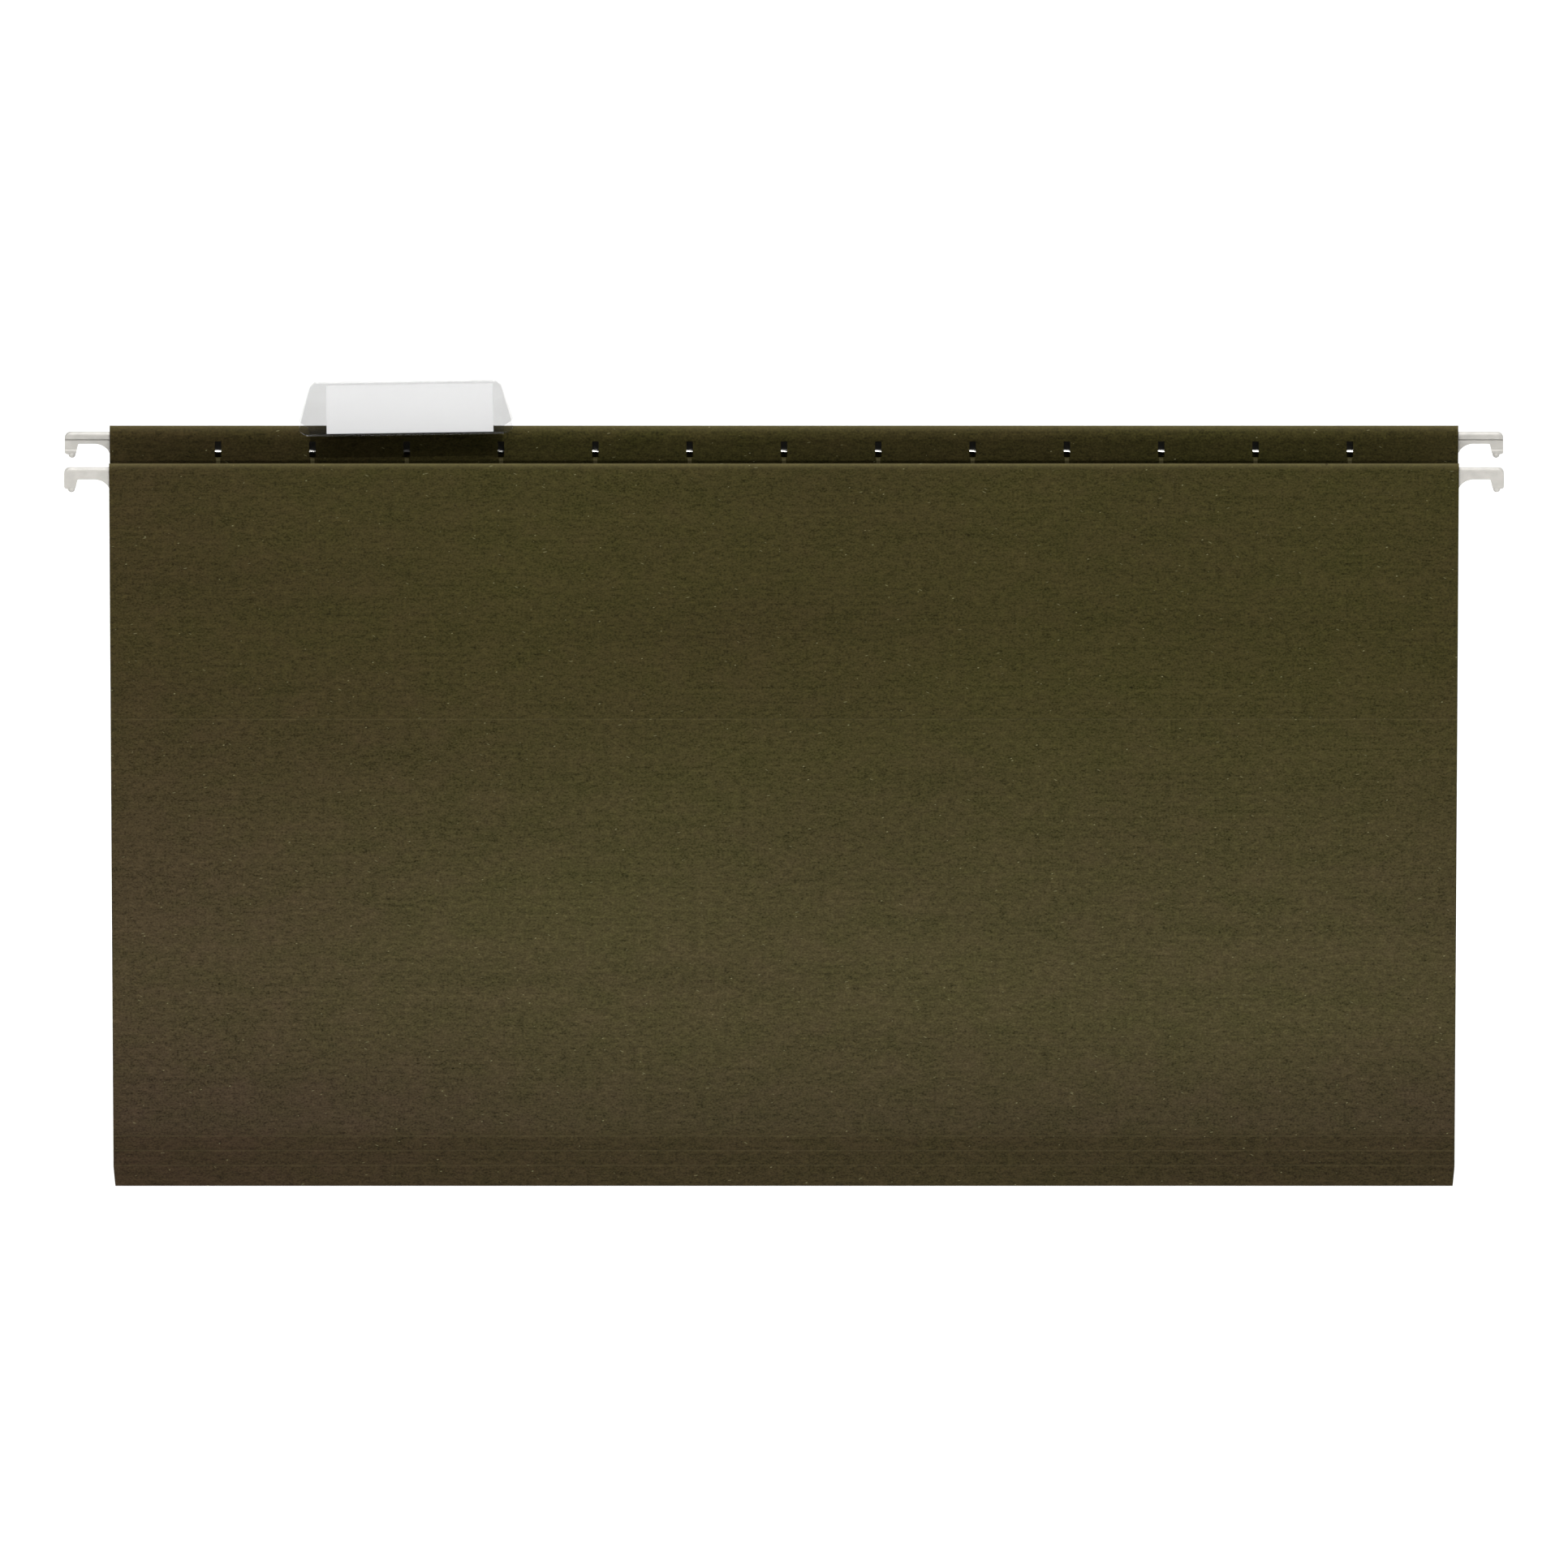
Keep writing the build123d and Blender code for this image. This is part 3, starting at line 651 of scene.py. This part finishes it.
def cut_slots(obj, tree, side, folder, material):
    """Cut the row of slots of one half with the node group, and keep the result as a plain mesh."""
    card, slots = folder.card, folder.slots
    modifier = obj.modifiers.new("Tab slots", "NODES")
    modifier.node_group = tree
    cut_depth = 1.5 * card.sleeve       # through the sleeve's wall and not into the panel
    place = in_frame(side, -card.sleeve - card.thickness / 2, card.height - slots.drop - slots.height / 2)
    values = {"Count": slots.count, "Pitch": slots.pitch, "Slot Width": slots.width, "Slot Height": slots.height,
              "Slit Width": slots.slit_width, "Slit Height": slots.slit_height, "Cut Depth": cut_depth,
              "Place": (0, *place), "Turn": (-side * LEAN, 0, 0), "Material": material}
    for item in tree.interface.items_tree:
        if item.in_out == "INPUT" and item.name in values:
            modifier[item.identifier] = values[item.name]
    mesh = plain_copy(obj, obj.name)
    mesh.set_sharp_from_angle(angle=SHARP)


class FOLDER_OT_fold_card(bpy.types.Operator):
    """Fold the two halves of the card, cut their tab slots and join them at the bottom fold"""

    bl_idname = "folder.fold_card"
    bl_label = "Fold the card"

    def execute(self, context):
        folder = context.scene.folder
        card, slots = folder.card, folder.slots
        material = olive_card(card)
        tree = slot_tree()
        rows = half_rows(card)
        for name, side in (("back", 1), ("front", -1)):
            sheet = [(side, row) for row in rows[ARC:]][::side]
            obj = new_object(f"{name}_card", card_mesh(f"{name}_card", sheet, card, slots))
            cut_slots(obj, tree, side, folder, material)
            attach(obj, f"{name}_half")
            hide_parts(f"{name}_panel", f"{name}_hem")

        sheet = [(-1, row) for row in reversed(rows[1:ARC + 1])] + [(1, row) for row in rows[:ARC + 1]]
        mesh = card_mesh("bottom_fold_card", sheet, card, slots)
        # The inner face of the fold closes to a line on its axis, where the points of its rows fall together
        together = 0.001 * MM
        shape = bmesh.new()
        shape.from_mesh(mesh)
        bmesh.ops.remove_doubles(shape, verts=shape.verts, dist=together)
        shape.to_mesh(mesh)
        shape.free()
        mesh.set_sharp_from_angle(angle=SHARP)
        obj = new_object("bottom_fold_card", mesh)
        paint(obj, material)
        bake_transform(obj)
        return {"FINISHED"}


# Hooks and rods

def dipped_hook(node, settings):
    """Rounded copy of a coat, its hollow closed by a plug at the end that the sleeve hides."""
    zoom = 1000                 # the remesh works in millimetres, where its voxels aren't too small
    plug_depth, inset_y, inset_z = 0.4 * MM, 0.1 * MM, 0.3 * MM
    low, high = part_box(node)
    inner, outer = (low.x, high.x) if low.x > 0 else (high.x, low.x)
    plug = inner + math.copysign(plug_depth, outer - inner)
    steel_low, steel_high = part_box(node.split("_")[0] + "_rod")
    points = [Vector((x, y, z)) for x in (inner, plug) for y in (steel_low.y + inset_y, steel_high.y - inset_y)
              for z in (steel_low.z + inset_z, steel_high.z - inset_z)]
    corners = [(0, 1, 3, 2), (4, 6, 7, 5), (0, 4, 5, 1), (2, 3, 7, 6), (0, 2, 6, 4), (1, 5, 7, 3)]
    source = frame["nodes"][node].data
    count = len(source.vertices)
    mesh = bpy.data.meshes.new(node)
    mesh.from_pydata([v.co * zoom for v in source.vertices] + [p * zoom for p in points], [],
                     [tuple(p.vertices) for p in source.polygons] + [tuple(count + k for k in c) for c in corners])
    obj = new_object("dipped_" + node.replace("_coat", ""), mesh)
    remesh = obj.modifiers.new("Wet coat", "REMESH")
    remesh.mode = "VOXEL"
    remesh.voxel_size = settings.grain * zoom
    smooth = obj.modifiers.new("Wet edges", "SMOOTH")
    smooth.factor = 0.5
    smooth.iterations = settings.rounding
    mesh = plain_copy(obj, obj.name)
    mesh.transform(Matrix.Scale(1 / zoom, 4))
    mesh.shade_smooth()
    return obj


class FOLDER_OT_dip_hooks(bpy.types.Operator):
    """Dip the four hooks in their off-white coat"""

    bl_idname = "folder.dip_hooks"
    bl_label = "Dip the hooks"

    def execute(self, context):
        settings = context.scene.folder.hooks
        material = dipped_vinyl(settings)
        for side in ("front", "back"):
            for hand in ("left", "right"):
                node = f"{side}_{hand}_hook_coat"
                obj = dipped_hook(node, settings)
                paint(obj, material)
                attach(obj, f"{side}_rod_body")
                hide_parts(node)
        return {"FINISHED"}


class FOLDER_OT_finish_rods(bpy.types.Operator):
    """Plate the steel rods and set the glue of the flaps"""

    bl_idname = "folder.finish_rods"
    bl_label = "Finish the rods"

    def execute(self, context):
        settings = context.scene.folder.hooks
        steel, glue = zinc_steel(settings), dried_glue(settings)
        for side in ("front", "back"):
            paint(frame["nodes"][f"{side}_rod"], steel)
            paint(frame["nodes"][f"{side}_hem_glue"], glue)
        return {"FINISHED"}


class FOLDER_OT_dress_tab(bpy.types.Operator):
    """Give the index tab its clear plastic and the label its paper"""

    bl_idname = "folder.dress_tab"
    bl_label = "Dress the index tab"

    def execute(self, context):
        settings = context.scene.folder.tab
        paint(frame["nodes"]["index_tab"], clear_vinyl(settings))
        paint(frame["nodes"]["label_insert"], label_paper(settings))
        return {"FINISHED"}


# Stage

def soft_light(name, place, aim, size, power):
    """Rectangular soft light that faces a point."""
    data = bpy.data.lights.new(name, "AREA")
    data.shape = "RECTANGLE"
    data.size, data.size_y = size
    data.energy = power
    obj = new_object(name, data)
    obj.visible_camera = False
    obj.location = place
    obj.rotation_euler = (Vector(aim) - Vector(place)).to_track_quat("-Z", "Y").to_euler()


class FOLDER_OT_set_stage(bpy.types.Operator):
    """Set the floor, the soft lights and the camera"""

    bl_idname = "folder.set_stage"
    bl_label = "Set the stage"

    def execute(self, context):
        scene = context.scene
        stage = scene.folder.stage
        reach = 8.0
        drop = CAD_BOX[0].z - stage.floor_drop
        mesh = bpy.data.meshes.new("floor")
        mesh.from_pydata([(-reach, -reach, drop), (reach, -reach, drop), (reach, reach, drop), (-reach, reach, drop)],
                         [], [(0, 1, 2, 3)])
        floor = new_object("floor", mesh)
        paint(floor, studio_floor(stage))

        world = bpy.data.worlds.new("white_room")
        world.use_nodes = True
        seen = add(world.node_tree, "ShaderNodeLightPath").outputs["Is Camera Ray"]
        glow = add(world.node_tree, "ShaderNodeMapRange", {"Value": seen, "To Min": stage.sky, "To Max": 1.0})
        sky = world.node_tree.nodes["Background"]
        sky.inputs["Color"].default_value = (1, 1, 1, 1)
        world.node_tree.links.new(glow.outputs["Result"], sky.inputs["Strength"])
        scene.world = world

        middle = (0, 0, stage.aim)
        rear = 0.7 * stage.fill
        soft_light("overhead_key", place=(-0.1, -0.85, 2.48), aim=middle, size=(1.6, 1.0), power=stage.key)
        soft_light("rear_fill", place=(0.5, 2.0, 0.75), aim=middle, size=(1.4, 1.0), power=rear)
        ceiling = bpy.data.lights.new("ceiling", "SUN")
        ceiling.energy = stage.ceiling
        ceiling.angle = math.radians(60)
        new_object("ceiling", ceiling)
        for name, x in (("left_fill", -1.2), ("right_fill", 1.2)):
            soft_light(name, place=(x, -1.75, 1.45), aim=middle, size=(1.2, 1.2), power=stage.fill)

        camera = bpy.data.cameras.new("camera")
        camera.sensor_width = 36
        camera.lens = camera.sensor_width * stage.distance / stage.frame_width
        camera.clip_end = 100
        holder = new_object("camera", camera)
        holder.location = (0, -stage.distance * math.cos(stage.elevation),
                           stage.aim + stage.distance * math.sin(stage.elevation))
        holder.rotation_euler = (math.pi / 2 - stage.elevation, 0, 0)
        scene.camera = holder
        scene.view_settings.view_transform = "Standard"
        return {"FINISHED"}


class FOLDER_PT_panel(bpy.types.Panel):
    """Steps of the folder and their settings"""

    bl_idname = "FOLDER_PT_panel"
    bl_label = "Hanging file folder"
    bl_space_type = "VIEW_3D"
    bl_region_type = "UI"
    bl_category = "Folder"

    def draw(self, context):
        folder = context.scene.folder
        for steps, groups in ((("folder.fold_card",), ("card", "slots")),
                              (("folder.dip_hooks", "folder.finish_rods"), ("hooks",)),
                              (("folder.dress_tab",), ("tab",)),
                              (("folder.set_stage",), ("stage",))):
            box = self.layout.box()
            for step in steps:
                box.operator(step)
            for group in groups:
                settings = getattr(folder, group)
                for name in settings.__annotations__:
                    box.prop(settings, name)


CLASSES = (CardSettings, SlotSettings, HookSettings, TabSettings, StageSettings, FolderSettings, FOLDER_OT_fold_card,
           FOLDER_OT_dip_hooks, FOLDER_OT_finish_rods, FOLDER_OT_dress_tab, FOLDER_OT_set_stage, FOLDER_PT_panel)


def register():
    for cls in CLASSES:
        bpy.utils.register_class(cls)
    bpy.types.Scene.folder = bpy.props.PointerProperty(type=FolderSettings)


def unregister():
    del bpy.types.Scene.folder
    for cls in reversed(CLASSES):
        bpy.utils.unregister_class(cls)


def main():
    register()
    bpy.ops.folder.fold_card()
    bpy.ops.folder.dip_hooks()
    bpy.ops.folder.finish_rods()
    bpy.ops.folder.dress_tab()
    bpy.ops.folder.set_stage()


if __name__ == "__main__":
    main()
